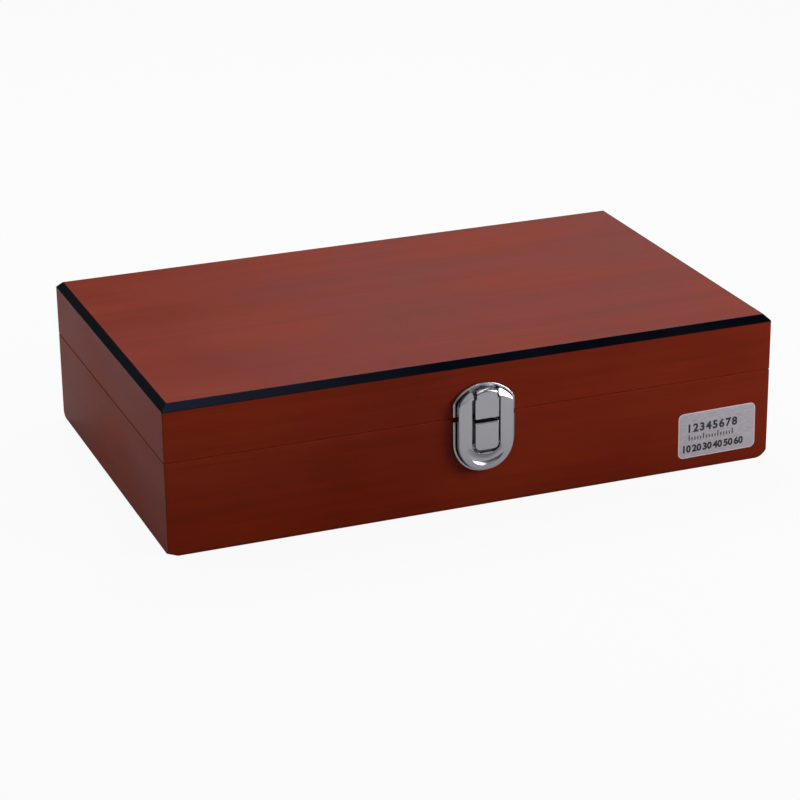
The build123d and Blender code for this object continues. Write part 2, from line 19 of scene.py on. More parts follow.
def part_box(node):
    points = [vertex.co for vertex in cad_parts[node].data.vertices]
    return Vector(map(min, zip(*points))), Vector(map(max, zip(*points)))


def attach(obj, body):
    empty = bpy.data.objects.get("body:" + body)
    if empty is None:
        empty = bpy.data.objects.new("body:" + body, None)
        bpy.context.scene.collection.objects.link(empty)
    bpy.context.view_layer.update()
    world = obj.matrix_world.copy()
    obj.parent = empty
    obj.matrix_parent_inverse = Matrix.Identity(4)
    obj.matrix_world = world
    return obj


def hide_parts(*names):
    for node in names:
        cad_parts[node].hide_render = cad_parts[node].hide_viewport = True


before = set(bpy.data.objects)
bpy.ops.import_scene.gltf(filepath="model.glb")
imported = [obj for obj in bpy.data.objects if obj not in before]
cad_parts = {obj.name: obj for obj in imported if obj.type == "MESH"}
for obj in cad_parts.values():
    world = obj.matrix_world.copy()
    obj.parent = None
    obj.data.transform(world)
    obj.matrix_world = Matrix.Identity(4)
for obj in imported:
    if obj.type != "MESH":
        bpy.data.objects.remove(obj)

MM = 0.001
SENSOR_MM = 36.0  # width of the camera's sensor
DIGIT_SHARE = 0.7  # height of a digit, as a share of its font's size
WELD = 1e-7  # points closer than this, in metres, are one
NOISE_SPAN = (0.3, 0.7)  # nearly all the values of a pattern lie between these
LOG = logging.getLogger("gauge_box")
Socket = bpy.types.NodeSocket
Tree = bpy.types.NodeTree


def linear(hex_colour: str) -> tuple[float, float, float, float]:
    """Turns an sRGB hex colour to the linear RGBA that a socket takes.

    Args:
        hex_colour: Six hex digits after a hash sign.

    Returns:
        Linear red, green and blue, and an alpha of 1.
    """
    shares = [int(hex_colour[i:i + 2], 16) / 255 for i in (1, 3, 5)]
    return (*(s / 12.92 if s <= 0.04045 else ((s + 0.055) / 1.055) ** 2.4 for s in shares), 1.0)


def add_node(
    tree: Tree, kind: str, inputs: Mapping[str | int, Any] | None = None, **settings: Any
) -> bpy.types.Node:
    """Adds one node with its settings, its values and its links.

    Args:
        tree: The node tree that gets the node.
        kind: Blender's name of the node type.
        inputs: For each input, by name or number, a value or a socket to link from.
        **settings: The node's own properties.

    Returns:
        The new node.
    """
    node = tree.nodes.new(kind)
    for name, value in settings.items():
        setattr(node, name, value)
    for name, value in (inputs or {}).items():
        if isinstance(value, Socket):
            tree.links.new(value, node.inputs[name])
        else:
            node.inputs[name].default_value = value
    return node


@dataclass(frozen=True)
class Pattern:
    """A soft random pattern whose patches have a real size.

    Attributes:
        size_mm: Length of a patch along X, Y and Z.
        detail: How many finer layers it has.
        uneven: Share of each finer layer, from 0 to 1.
        drift: How far the patches wander.
    """

    size_mm: tuple[float, float, float]
    detail: float = 2.0
    uneven: float = 0.5
    drift: float = 0.0

    def add(self, tree: Tree) -> Socket:
        """Adds the pattern to a material.

        Args:
            tree: The material's node tree.

        Returns:
            The pattern's value from 0 to 1.
        """
        place = add_node(tree, "ShaderNodeTexCoord").outputs["Object"]
        scaled = add_node(
            tree, "ShaderNodeMapping",
            {"Vector": place, "Scale": [1 / (s * MM) for s in self.size_mm]},
        )
        patches = add_node(
            tree, "ShaderNodeTexNoise",
            {"Vector": scaled.outputs[0], "Scale": 1.0, "Detail": self.detail,
             "Roughness": self.uneven, "Distortion": self.drift},
        )
        return patches.outputs["Fac"]


def remap(tree: Tree, value: Socket, old: tuple[float, float], new: tuple[float, float]) -> Socket:
    """Stretches the old range of a value over the new one, held at both ends.

    Args:
        tree: The material's node tree.
        value: The value to stretch.
        old: The range that is read.
        new: The range that comes out.

    Returns:
        The stretched value.
    """
    ends = dict(zip(("From Min", "From Max", "To Min", "To Max"), (*old, *new)))
    return add_node(tree, "ShaderNodeMapRange", {"Value": value, **ends}).outputs["Result"]


def overlay(
    tree: Tree, pattern: Socket, span: tuple[float, float], below: Any, above: Any, most: float = 1.0
) -> Socket:
    """Lays one colour over another where a pattern is high.

    Args:
        tree: The material's node tree.
        pattern: The pattern's value.
        span: The value where the colour above starts to show, and the one where it shows most.
        below: The colour below, a socket or a linear colour.
        above: The colour above, a socket or a linear colour.
        most: How much of the colour above shows at most.

    Returns:
        The blended colour.
    """
    share = remap(tree, pattern, span, (0.0, most))
    return add_node(tree, "ShaderNodeMix", {0: share, 6: below, 7: above}, data_type="RGBA").outputs[2]


class Finish(ABC):
    """A surface finish, which makes one material and gives the same one after that."""

    name: str

    @abstractmethod
    def shade(self, tree: Tree) -> Socket:
        """Adds the finish's nodes and returns its surface."""

    def material(self) -> bpy.types.Material:
        """Makes the finish's material, or finds the one that was made before.

        Returns:
            The material.
        """
        made = bpy.data.materials.get(self.name)
        if made is None:
            made = bpy.data.materials.new(self.name)
            made.use_nodes = True
            made.node_tree.nodes.clear()
            surface = self.shade(made.node_tree)
            add_node(made.node_tree, "ShaderNodeOutputMaterial", {"Surface": surface})
        return made


def bumped(tree: Tree, *layers: tuple[Socket, float]) -> Socket:
    """Stacks bumps on a surface.

    Args:
        tree: The material's node tree.
        *layers: For each bump its height from 0 to 1, and its depth in millimetres.

    Returns:
        The surface's normal.
    """
    normal: Socket | None = None
    for height, depth in layers:
        inputs = {"Height": height, "Distance": depth * MM, "Strength": 1.0}
        if normal is not None:
            inputs["Normal"] = normal
        normal = add_node(tree, "ShaderNodeBump", inputs).outputs["Normal"]
    return normal


class Grain(Enum):
    """The axis that a board's grain runs along."""

    ALONG_X = "along_x"
    ALONG_Y = "along_y"


@dataclass(frozen=True)
class StainedPoplar(Finish):
    """Poplar boards, cherry stain sprayed on and satin lacquer over it.

    The stain hides most of the figure: the eye gets a deep red-brown with soft cloudy patches
    a hand wide, faint long streaks, a few darker growth lines and fine pores. The lacquer is
    thin and satin, so it only veils the colour where it is seen at a low angle.

    Attributes:
        grain: The axis that the grain runs along.
        pale: Colour of the paler patches of stain.
        deep: Colour of the deeper patches.
        growth_line: Colour of the streaks, growth lines and fibres.
        cloud: Width of a patch in millimetres, and how many times longer it is along the grain.
        streak: The same of a long streak.
        line: The same of a growth line.
        fibre: The same of a fibre, drawn coarser than it is so that it shows.
        pore: The same of a pore.
        pore_depth_mm: How deep the lacquer sinks into a pore.
        ripple_mm: Length of the lacquer's own ripple, and its height.
        roughness: Range of the lacquer's roughness.
        lacquer_ior: Index of refraction, low because the lacquer only shines faintly.
        haze: Cast of that shine, faintly violet over the red stain.
    """

    grain: Grain
    pale: str = "#7D270A"
    deep: str = "#6C1C06"
    growth_line: str = "#521405"
    cloud: tuple[float, float] = (50.0, 1.7)
    streak: tuple[float, float] = (6.5, 26.0)
    line: tuple[float, float] = (1.6, 45.0)
    fibre: tuple[float, float] = (0.7, 30.0)
    pore: tuple[float, float] = (0.35, 14.0)
    pore_depth_mm: float = 0.012
    ripple_mm: tuple[float, float] = (1.8, 0.012)
    roughness: tuple[float, float] = (0.34, 0.46)
    lacquer_ior: float = 1.18
    haze: str = "#F6E2FF"

    @property
    def name(self) -> str:
        """Returns the material's name, one for each way of the grain."""
        return f"cherry_stained_poplar_{self.grain.value}"

    def figure(self, patch: tuple[float, float], **more: float) -> Pattern:
        """Makes a pattern that is drawn out along the grain.

        Args:
            patch: Width of a patch in millimetres, and how many times longer it is.
            **more: The pattern's other values.

        Returns:
            The pattern.
        """
        across, longer = patch
        along = across * longer
        size = (along, across, across) if self.grain is Grain.ALONG_X else (across, along, across)
        return Pattern(size, **more)

    def shade(self, tree: Tree) -> Socket:
        """Adds the stained wood's nodes.

        Args:
            tree: The material's node tree.

        Returns:
            The surface.
        """
        clouds = self.figure(self.cloud, detail=3.0).add(tree)
        streaks = self.figure(self.streak, detail=3.0, uneven=0.55, drift=0.3).add(tree)
        lines = self.figure(self.line, detail=1.0, drift=0.5).add(tree)
        fibres = self.figure(self.fibre, detail=2.0).add(tree)
        pores = self.figure(self.pore, detail=0.0).add(tree)
        ripple = Pattern((self.ripple_mm[0],) * 3).add(tree)
        dark = linear(self.growth_line)
        stain = overlay(tree, clouds, (0.28, 0.72), linear(self.deep), linear(self.pale))
        streaked = overlay(tree, streaks, (0.4, 0.72), stain, dark, most=0.3)
        lined = overlay(tree, lines, (0.68, 0.76), streaked, dark, most=0.3)
        fibred = overlay(tree, fibres, (0.45, 0.75), lined, dark, most=0.14)
        unsunk = remap(tree, pores, (0.62, 0.72), (1.0, 0.0))
        skin = add_node(
            tree, "ShaderNodeBsdfPrincipled",
            {"Base Color": fibred, "IOR": self.lacquer_ior, "Specular Tint": linear(self.haze),
             "Roughness": remap(tree, clouds, NOISE_SPAN, self.roughness),
             "Normal": bumped(tree, (unsunk, self.pore_depth_mm), (ripple, self.ripple_mm[1]))},
        )
        return skin.outputs[0]


@dataclass(frozen=True)
class BlackLacquer(Finish):
    """Black paint under satin lacquer on the bevelled edging.

    Nearly black with a cool cast. The eye gets it from the soft bluish light on the bevels and
    from a faint orange peel.
    """

    name: str = "black_lacquered_edging"
    colour: str = "#030409"
    # paler patches, partly wear and dusting, partly a painted bluish sheen like the bevels' reflection
    worn_and_sheen: str = "#0B0C12"
    cool_cast: str = "#B4C4FF"
    dust_and_sheen_mm: float = 60.0
    peel_mm: tuple[float, float] = (1.2, 0.01)  # length and height of the orange peel
    roughness: tuple[float, float] = (0.2, 0.28)
    lacquer_ior: float = 1.2

    def shade(self, tree: Tree) -> Socket:
        """Adds the lacquer's nodes.

        Args:
            tree: The material's node tree.

        Returns:
            The surface.
        """
        # paler patches: partly wear, partly painted sheen standing in for the bevels' bluish reflection
        dust_and_sheen = Pattern((self.dust_and_sheen_mm,) * 3, detail=5.0, uneven=0.6).add(tree)
        peel = Pattern((self.peel_mm[0],) * 3).add(tree)
        skin = add_node(
            tree, "ShaderNodeBsdfPrincipled",
            {"Base Color": overlay(tree, dust_and_sheen, (0.5, 0.75), linear(self.colour), linear(self.worn_and_sheen)),
             "IOR": self.lacquer_ior, "Specular Tint": linear(self.cool_cast),
             "Roughness": remap(tree, dust_and_sheen, NOISE_SPAN, self.roughness),
             "Normal": bumped(tree, (peel, self.peel_mm[1]))},
        )
        return skin.outputs[0]


@dataclass(frozen=True)
class PlatedMetal(Finish):
    """Bright plating on pressed steel or cast zinc.

    The eye gets a mirror that the slow waves of the polished metal bend, with a thin haze of
    fine rubbing.
    """

    name: str = "chrome_plated_latch"
    colour: str = "#BFBFC6"
    roughness: tuple[float, float] = (0.18, 0.25)
    wave_mm: float = 7.0
    wave_depth_mm: float = 0.012
    rub_mm: float = 0.25
    rub_longer: float = 12.0
    rub_depth_mm: float = 0.0006

    def shade(self, tree: Tree) -> Socket:
        """Adds the plated metal's nodes.

        Args:
            tree: The material's node tree.

        Returns:
            The surface.
        """
        waves = Pattern((self.wave_mm,) * 3, detail=1.0).add(tree)
        reach = self.rub_mm * self.rub_longer
        rub = Pattern((reach, reach, self.rub_mm), detail=3.0).add(tree)
        skin = add_node(
            tree, "ShaderNodeBsdfPrincipled",
            {"Base Color": linear(self.colour), "Metallic": 1.0,
             "Roughness": remap(tree, rub, (0.35, 0.7), self.roughness),
             "Normal": bumped(tree, (waves, self.wave_depth_mm), (rub, self.rub_depth_mm))},
        )
        return skin.outputs[0]


NICKEL = PlatedMetal(
    name="nickel_plated_steel", colour="#C6C1B8", roughness=(0.25, 0.29), wave_depth_mm=0.003,
    rub_mm=0.3, rub_depth_mm=0.0001,
)


@dataclass(frozen=True)
class GroundSteel(Finish):
    """Hardened steel, centreless ground and lightly oiled.

    The eye gets fine rings round each gauge, which draw its highlight out to a soft bright
    line.
    """

    name: str = "ground_steel_gauges"
    colour: str = "#BEBEC2"
    ring_mm: float = 0.3  # grinding rings are far finer, and are drawn this coarse
    ring_reach_mm: float = 30.0
    ring_depth_mm: float = 0.0015
    roughness: tuple[float, float] = (0.16, 0.3)

    def shade(self, tree: Tree) -> Socket:
        """Adds the ground steel's nodes.

        Args:
            tree: The material's node tree.

        Returns:
            The surface.
        """
        rings = Pattern((self.ring_reach_mm, self.ring_reach_mm, self.ring_mm), detail=2.0).add(tree)
        skin = add_node(
            tree, "ShaderNodeBsdfPrincipled",
            {"Base Color": linear(self.colour), "Metallic": 1.0,
             "Roughness": remap(tree, rings, NOISE_SPAN, self.roughness),
             "Normal": bumped(tree, (rings, self.ring_depth_mm))},
        )
        return skin.outputs[0]


@dataclass(frozen=True)
class PlainBeech(Finish):
    """Planed beech, drilled and left without lacquer.

    The eye gets a warm pale brown with the short darker flecks of beech and a dull surface.
    """

    name: str = "plain_beech_rack"
    pale: str = "#CDA676"
    dark: str = "#B88A58"
    fleck: str = "#8E6138"
    band_mm: tuple[float, float, float] = (180.0, 9.0, 9.0)
    fleck_mm: tuple[float, float, float] = (3.2, 0.45, 0.45)
    fleck_depth_mm: float = 0.02
    roughness: tuple[float, float] = (0.52, 0.66)

    def shade(self, tree: Tree) -> Socket:
        """Adds the beech's nodes.

        Args:
            tree: The material's node tree.

        Returns:
            The surface.
        """
        bands = Pattern(self.band_mm, detail=3.0, drift=0.3).add(tree)
        flecks = Pattern(self.fleck_mm, detail=0.0).add(tree)
        wood = overlay(tree, bands, (0.35, 0.65), linear(self.pale), linear(self.dark))
        flecked = overlay(tree, flecks, (0.62, 0.7), wood, linear(self.fleck), most=0.7)
        skin = add_node(
            tree, "ShaderNodeBsdfPrincipled",
            {"Base Color": flecked, "Roughness": remap(tree, flecks, NOISE_SPAN, self.roughness),
             "Normal": bumped(tree, (flecks, self.fleck_depth_mm))},
        )
        return skin.outputs[0]


@dataclass(frozen=True)
class SheetStyrene(Finish):
    """White extruded polystyrene sheet, printed on top.

    The eye gets an even warm white with a soft shine and a very fine ripple.
    """

    name: str = "white_styrene_plate"
    colour: str = "#E4E2DA"
    handled: str = "#D8D5CB"
    handling_mm: float = 24.0
    ripple_mm: tuple[float, float] = (2.5, 0.01)  # length and height of the sheet's ripple
    roughness: tuple[float, float] = (0.34, 0.46)

    def shade(self, tree: Tree) -> Socket:
        """Adds the sheet's nodes.

        Args:
            tree: The material's node tree.

        Returns:
            The surface.
        """
        handling = Pattern((self.handling_mm,) * 3, detail=4.0, uneven=0.6).add(tree)
        ripple = Pattern((self.ripple_mm[0],) * 3).add(tree)
        skin = add_node(
            tree, "ShaderNodeBsdfPrincipled",
            {"Base Color": overlay(tree, handling, (0.45, 0.75), linear(self.colour), linear(self.handled)),
             "Roughness": remap(tree, handling, NOISE_SPAN, self.roughness),
             "Normal": bumped(tree, (ripple, self.ripple_mm[1]))},
        )
        return skin.outputs[0]


@dataclass(frozen=True)
class CoatedPaper(Finish):
    """Silver-grey coated label paper, cut out with a die.

    The eye gets a cool grey with the faint cloud of paper fibres, a soft sheen, and a thin
    pinkish white highlight painted along the cut edge.

    Attributes:
        to_label: Takes a place in the frame to the label's own middle.
        size_mm: The label's width and height.
        corner_mm: Radius of its corners.
        rim_highlight_mm: Width of the painted edge highlight.
        rim_highlight_soft_mm: How far the painted highlight fades in from its inner side.
        name: The material's name.
        colour: Colour of the coating.
        fibre_shade: Colour of the fibres under it.
        rim_highlight: Colour of the painted edge highlight.
        fibre_mm: Width of a clump of fibres, drawn coarser than it is.
        fibre_longer: How many times longer than wide it is.
        fibre_depth_mm: How far it stands out.
        coating_ior: Index of refraction of the thin coating.
        roughness: Range of its roughness.
    """

    to_label: Matrix
    size_mm: tuple[float, float]
    corner_mm: float
    rim_highlight_mm: float = 0.45
    rim_highlight_soft_mm: float = 0.15
    name: str = "silver_grey_label_paper"
    colour: str = "#B6B0B9"
    fibre_shade: str = "#A6A0AA"
    # a painted highlight along the cut edge
    rim_highlight: str = "#D9CBCF"
    fibre_mm: float = 0.6
    fibre_longer: float = 3.0
    fibre_depth_mm: float = 0.006
    coating_ior: float = 1.3
    roughness: tuple[float, float] = (0.38, 0.5)

    def edge_distance(self, tree: Tree) -> Socket:
        """Adds the distance from the middle of the nearest corner's round, 0 further inside.

        Args:
            tree: The material's node tree.

        Returns:
            The distance in metres.
        """
        place = add_node(tree, "ShaderNodeTexCoord").outputs["Object"]
        local = add_node(
            tree, "ShaderNodeMapping",
            {"Vector": place, "Location": self.to_label.translation, "Rotation": self.to_label.to_euler()},
        )
        folded = add_node(tree, "ShaderNodeVectorMath", {0: local.outputs[0]}, operation="ABSOLUTE")
        deep = 1.0  # metres, so that the paper's thickness counts for nothing
        core = [(side / 2 - self.corner_mm) * MM for side in self.size_mm] + [deep]
        beyond = add_node(tree, "ShaderNodeVectorMath", {0: folded.outputs[0], 1: core},
                          operation="SUBTRACT")
        outside = add_node(tree, "ShaderNodeVectorMath", {0: beyond.outputs[0], 1: (0, 0, 0)},
                           operation="MAXIMUM")
        length = add_node(tree, "ShaderNodeVectorMath", {0: outside.outputs[0]}, operation="LENGTH")
        return length.outputs["Value"]

    def shade(self, tree: Tree) -> Socket:
        """Adds the paper's nodes.

        Args:
            tree: The material's node tree.

        Returns:
            The surface.
        """
        clump = (self.fibre_mm * self.fibre_longer, self.fibre_mm, self.fibre_mm)
        fibres = Pattern(clump, detail=4.0).add(tree)
        paper = overlay(tree, fibres, (0.35, 0.7), linear(self.colour), linear(self.fibre_shade))
        inner = (self.corner_mm - self.rim_highlight_mm) * MM
        fade = (inner, inner + self.rim_highlight_soft_mm * MM)
        skin = add_node(
            tree, "ShaderNodeBsdfPrincipled",
            # a painted highlight lies along the cut edge, over the paper
            {"Base Color": overlay(tree, self.edge_distance(tree), fade, paper, linear(self.rim_highlight)),
             "IOR": self.coating_ior, "Roughness": remap(tree, fibres, NOISE_SPAN, self.roughness),
             "Normal": bumped(tree, (fibres, self.fibre_depth_mm))},
        )
        return skin.outputs[0]


@dataclass(frozen=True)
class PrintingInk(Finish):
    """Blue-black screen printing ink.

    The eye gets a dense dull mark whose coverage is a little uneven.
    """

    name: str = "blue_black_ink"
    colour: str = "#15151F"
    thin: str = "#34343F"
    cover_mm: float = 0.5
    roughness: tuple[float, float] = (0.4, 0.6)

    def shade(self, tree: Tree) -> Socket:
        """Adds the ink's nodes.

        Args:
            tree: The material's node tree.

        Returns:
            The surface.
        """
        cover = Pattern((self.cover_mm,) * 3, detail=3.0).add(tree)
        skin = add_node(
            tree, "ShaderNodeBsdfPrincipled",
            {"Base Color": overlay(tree, cover, (0.45, 0.75), linear(self.colour), linear(self.thin)),
             "Roughness": remap(tree, cover, NOISE_SPAN, self.roughness)},
        )
        return skin.outputs[0]


@dataclass(frozen=True)
class OpenCellFoam(Finish):
    """Charcoal polyurethane foam, cut from a block.

    The eye gets a dull dark sheet full of tiny open cells, with shade painted into their hollows.
    """

    name: str = "charcoal_polyurethane_foam"
    wall: str = "#46464B"
    # painted shade: the colour of the hollows, darker than the walls because shade falls there
    cell_shade: str = "#1E1E22"
    cell_mm: float = 1.1  # cells are about half of this, and are drawn this coarse
    cell_depth_mm: float = 0.35
    roughness: float = 0.95

    def shade(self, tree: Tree) -> Socket:
        """Adds the foam's nodes.

        Args:
            tree: The material's node tree.

        Returns:
            The surface.
        """
        place = add_node(tree, "ShaderNodeTexCoord").outputs["Object"]
        cells = add_node(tree, "ShaderNodeTexVoronoi",
                         {"Vector": place, "Scale": 1 / (self.cell_mm * MM)}).outputs["Distance"]
        skin = add_node(
            tree, "ShaderNodeBsdfPrincipled",
            # painted shade darkens the hollows of the cells' pattern; the walls stay paler
            {"Base Color": overlay(tree, cells, (0.1, 0.55), linear(self.cell_shade), linear(self.wall)),
             "Roughness": self.roughness, "Normal": bumped(tree, (cells, self.cell_depth_mm))},
        )
        return skin.outputs[0]


def dress(node: str, finish: Finish) -> None:
    """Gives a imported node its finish.

    Args:
        node: The node's name.
        finish: The finish that its whole surface gets.
    """
    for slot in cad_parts[node].material_slots:
        slot.material = finish.material()
    LOG.info("%s: %s", node, finish.name)


def new_piece(name: str, shell: bmesh.types.BMesh, finish: Finish, smooth: bool = False) -> bpy.types.Object:
    """Makes an object of its own from a finished mesh.

    Args:
        name: The piece's name.
        shell: The mesh, in metres and in its place. It is freed here.
        finish: The finish that it gets.
        smooth: Whether its faces are shaded as one smooth surface.

    Returns:
        The new object.
    """
    bmesh.ops.recalc_face_normals(shell, faces=shell.faces)
    mesh = bpy.data.meshes.new(name)
    shell.to_mesh(mesh)
    shell.free()
    if smooth:
        mesh.shade_smooth()
    mesh.materials.append(finish.material())
    piece = bpy.data.objects.new(name, mesh)
    bpy.context.scene.collection.objects.link(piece)
    LOG.info("%s: made, %d faces, %s", name, len(mesh.polygons), finish.name)
    return piece


@dataclass
class Print:
    """Marks printed on a flat face, as thin solid ink.

    Attributes:
        plane: Takes a point on the face, with its height above the face, to its place.
        ink_mm: How thick the ink stands.
        curve_steps: Straight steps in each curve of a digit.
    """

    plane: Matrix
    ink_mm: float = 0.02
    curve_steps: int = 3

    def __post_init__(self) -> None:
        """Starts with no marks."""
        self.marks = bmesh.new()

    def line(self, start: tuple[float, float], end: tuple[float, float], width: float) -> None:
        """Adds a straight line with square ends.

        Args:
            start: Its first end on the face, in millimetres.
            end: Its second end.
            width: Its width in millimetres.
        """
        a, b = Vector(start), Vector(end)
        side = (b - a).orthogonal().normalized() * width / 2
        corners = [self.marks.verts.new((*(p * MM), 0.0)) for p in (a + side, a - side, b - side, b + side)]
        face = self.marks.faces.new(corners)
        raised = bmesh.ops.extrude_face_region(self.marks, geom=[face])["geom"]
        bmesh.ops.translate(self.marks, vec=(0, 0, self.ink_mm * MM),
                            verts=[v for v in raised if isinstance(v, bmesh.types.BMVert)])

    def numbers(self, texts: Mapping[tuple[float, float], str], height: float, weight: float) -> None:
        """Adds plain numbers, each centred on its place.

        Args:
            texts: The number that stands at each place on the face, in millimetres.
            height: Height of a digit in millimetres.
            weight: How much bolder than the plain face a stroke is, in millimetres.
        """
        made = []
        for (x, y), text in texts.items():
            curve = bpy.data.curves.new("number", "FONT")
            curve.body = text
            curve.size = height * MM / DIGIT_SHARE
            curve.align_x, curve.align_y = "CENTER", "CENTER"
            curve.extrude = self.ink_mm * MM / 2
            curve.offset = weight * MM / 2
            curve.resolution_u = self.curve_steps
            item = bpy.data.objects.new("number", curve)
            item.location = (x * MM, y * MM, self.ink_mm * MM / 2)
            bpy.context.scene.collection.objects.link(item)
            made.append(item)
        bpy.context.view_layer.update()
        found = bpy.context.evaluated_depsgraph_get()
        for item in made:
            mesh = bpy.data.meshes.new_from_object(item.evaluated_get(found))
            mesh.transform(item.matrix_world)
            self.marks.from_mesh(mesh)
            bpy.data.meshes.remove(mesh)
            curve = item.data
            bpy.data.objects.remove(item)
            bpy.data.curves.remove(curve)

    def piece(self, name: str, body: str, slot: str) -> bpy.types.Object:
        """Puts all the marks on their face as one piece.

        Args:
            name: The piece's name.
            body: The body that carries it.
            slot: The record's material slot of what it is printed on. It is not used.

        Returns:
            The printed piece.
        """
        bmesh.ops.remove_doubles(self.marks, verts=self.marks.verts, dist=WELD)
        self.marks.transform(self.plane)
        made = new_piece(name, self.marks, PrintingInk())
        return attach(made, body)


class Assembly(ABC):
    """A sub-assembly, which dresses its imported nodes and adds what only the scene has."""

    def dress(self) -> None:
        """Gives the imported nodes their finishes, where it has any to dress."""

    def build(self) -> None:
        """Adds the scene's own pieces, where it has any."""


@dataclass
class Woodwork(Assembly):
    """The boards of the base and the lid."""

    long_boards: tuple[str, ...] = ("front_wall", "back_wall")
    short_boards: tuple[str, ...] = ("left_wall", "right_wall")
    panels: tuple[str, ...] = ("base_bottom_panel", "lid_top_panel")

    def dress(self) -> None:
        """Stains every board, with its grain along its length."""
        for half in ("base", "lid"):
            for board in self.long_boards:
                dress(f"{half}_{board}", StainedPoplar(Grain.ALONG_X))
            for board in self.short_boards:
                dress(f"{half}_{board}", StainedPoplar(Grain.ALONG_Y))
        for panel in self.panels:
            dress(panel, StainedPoplar(Grain.ALONG_X))


@dataclass
class Edging(Assembly):
    """The four bevelled strips round the top of the lid."""

    sides: tuple[str, ...] = ("front", "back", "left", "right")

    def dress(self) -> None:
        """Lacquers the strips black."""
        for side in self.sides:
            dress(f"lid_{side}_edging", BlackLacquer())


@dataclass
class DrawLatch(Assembly):
    """The latch: two plates, the middle block, the frame, their pins and screws."""

    plated: tuple[str, ...] = ("latch_lid_plate", "latch_base_plate", "latch_link", "latch_frame")
    fasteners: tuple[str, ...] = (
        "latch_lid_screws", "latch_base_screws", "latch_link_pin", "latch_frame_pin",
    )

    def dress(self) -> None:
        """Chromes the plates and the moving parts and nickels the rest."""
        for node in self.plated:
            dress(node, PlatedMetal())
        for node in self.fasteners:
            dress(node, NICKEL)


@dataclass
class Hinges(Assembly):
    """The two hinges at the back, with their screws."""

    names: tuple[str, ...] = ("left", "right")
    parts: tuple[str, ...] = ("base_leaf", "lid_leaf", "pin")

    def dress(self) -> None:
        """Nickels every leaf, pin and screw."""
        for name in self.names:
            for part in self.parts:
                dress(f"hinge_{name}_{part}", NICKEL)
        for half in ("base", "lid"):
            dress(f"hinge_{half}_screws", NICKEL)


@dataclass
class GaugeRack(Assembly):
    """The drilled block, its printed plate and the hundred gauges.

    Attributes:
        rows: How many rows of gauges there are.
        columns: How many gauges each row has.
        first_size: Diameter of the first gauge in millimetres.
        step: How much each gauge is thicker than the one before.
        digit_h: Height of the printed numbers.
        digit_bold: How much bolder than the plain face they are.
        below_hole: From a hole to the middle of its number.
        line_w: Width of the printed lines.
        line_inset: From the ends of the plate to the printed lines.
    """

    rows: int = 5
    columns: int = 20
    first_size: float = 1.01
    step: float = 0.01
    digit_h: float = 2.3
    digit_bold: float = 0.04
    below_hole: float = 5.2
    line_w: float = 0.25
    line_inset: float = 4.0

    def dress(self) -> None:
        """Gives the block, the plate and the gauges their finishes."""
        dress("rack_block", PlainBeech())
        dress("rack_scale_plate", SheetStyrene())
        for row in range(self.rows):
            dress(f"gauge_pins_row_{row + 1}", GroundSteel())

    def build(self) -> None:
        """Prints each gauge's size in front of its hole, and a line between the rows."""
        low, high = (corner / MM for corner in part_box("rack_scale_plate"))
        first = [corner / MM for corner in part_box("gauge_pins_row_1")]
        last = [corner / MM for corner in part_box(f"gauge_pins_row_{self.rows}")]
        top = (first[0].y + first[1].y) / 2
        pitch_y = (top - (last[0].y + last[1].y) / 2) / (self.rows - 1)
        left = first[0].x + self.first_size / 2
        last_size = self.first_size + self.step * (self.columns - 1)
        pitch_x = (first[1].x - last_size / 2 - left) / (self.columns - 1)
        sheet = Print(Matrix.Translation((0, 0, high.z * MM)))
        sizes = {}
        for row in range(self.rows):
            y = top - row * pitch_y
            for column in range(self.columns):
                size = self.first_size + self.step * (row * self.columns + column)
                sizes[left + column * pitch_x, y - self.below_hole] = f"{size:.2f}"
        sheet.numbers(sizes, self.digit_h, self.digit_bold)
        ends = (low.x + self.line_inset, high.x - self.line_inset)
        for row in range(self.rows + 1):
            y = top - (row - 0.5) * pitch_y - self.below_hole / 2
            sheet.line((ends[0], y), (ends[1], y), self.line_w)
        sheet.piece("rack_printed_sizes", "base", "scale_plate")


